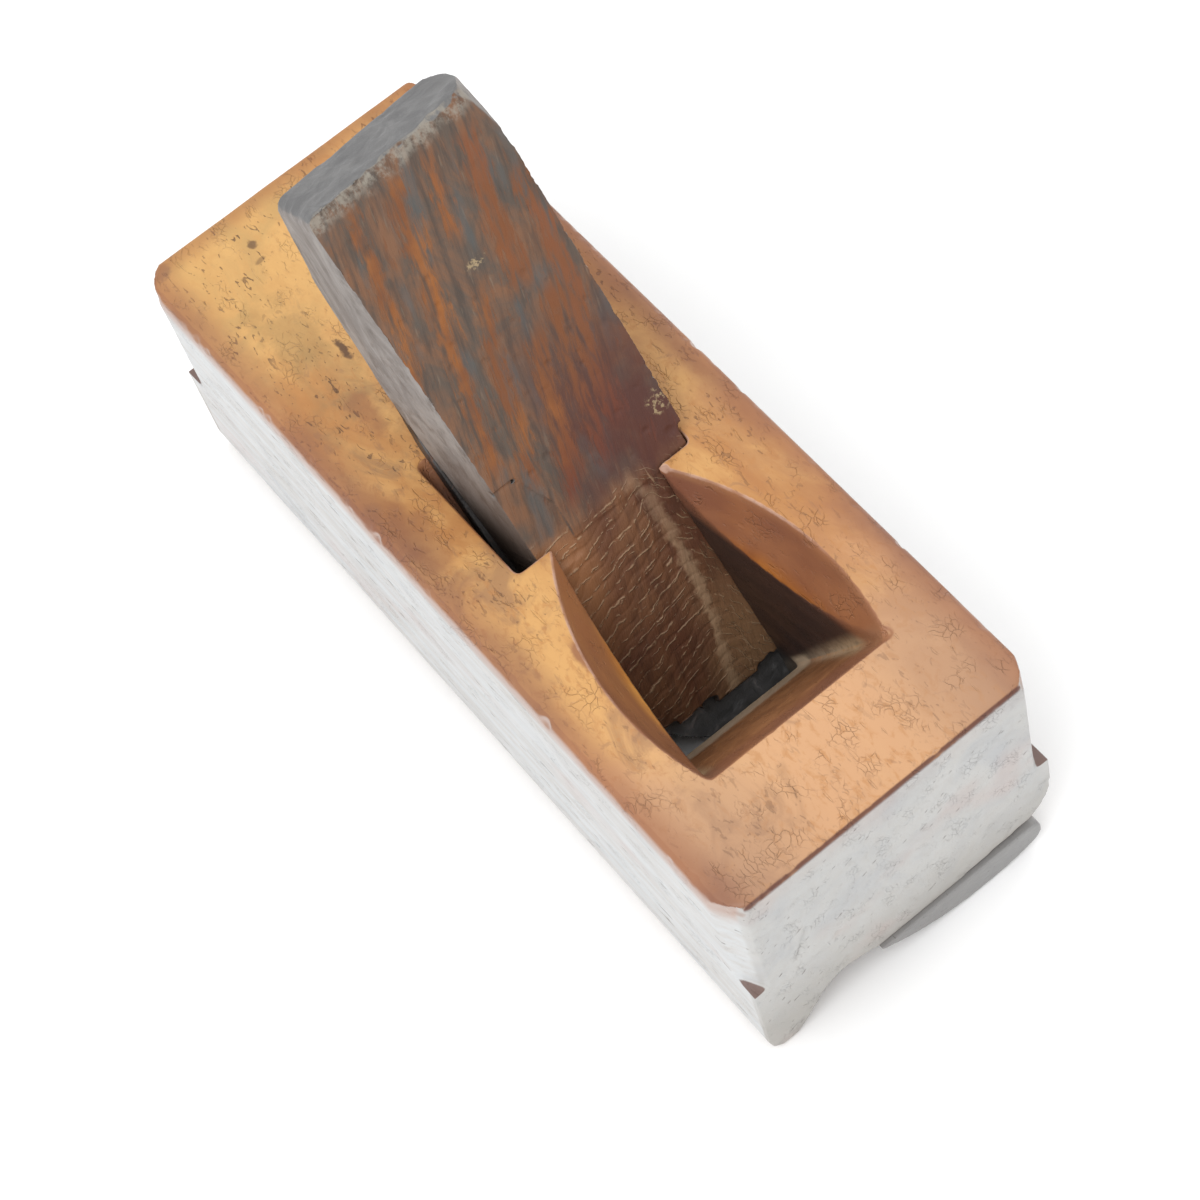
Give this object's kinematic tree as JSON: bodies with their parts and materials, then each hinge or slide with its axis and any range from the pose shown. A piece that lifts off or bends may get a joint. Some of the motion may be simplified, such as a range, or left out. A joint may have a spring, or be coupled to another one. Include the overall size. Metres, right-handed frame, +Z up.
{
  "type": "hand plane",
  "caption": "Wooden hand plane with a moulded sole, open throat, and an iron held on its sloping bed by a driven hardwood wedge.",
  "frame": {"origin": "centre of the bounding box at floor level, where the plane stands on its sole", "axes": "+X across the plane to the right, +Y from the toe towards the heel, +Z up"},
  "size_m": [0.07, 0.1868, 0.1284],
  "materials": {
    "stock_wood": "aged beech, oiled and worn, honey brown on top and greyer on the sides",
    "slip_wood": "dense dark wood, rubbed smooth",
    "iron_steel": "old forged steel, dulled, with a ground bevel",
    "wedge_wood": "dark hardwood, grimy grey-brown with red-brown streaks"
  },
  "bodies": {
    "stock": {"stock": "stock_wood", "sole_slip": "slip_wood"},
    "iron": {"iron": "iron_steel"},
    "wedge": {"wedge": "wedge_wood"}
  },
  "joints": [
    {"name": "iron_slide", "type": "slide", "parent": "stock", "child": "iron", "axis": [0, 0.6561, 0.7547], "range_m": [-0.0008, 0.09]},
    {"name": "wedge_slide", "type": "slide", "parent": "stock", "child": "wedge", "axis": [0, 0.5446, 0.8387], "range_m": [0, 0.07]}
  ]
}
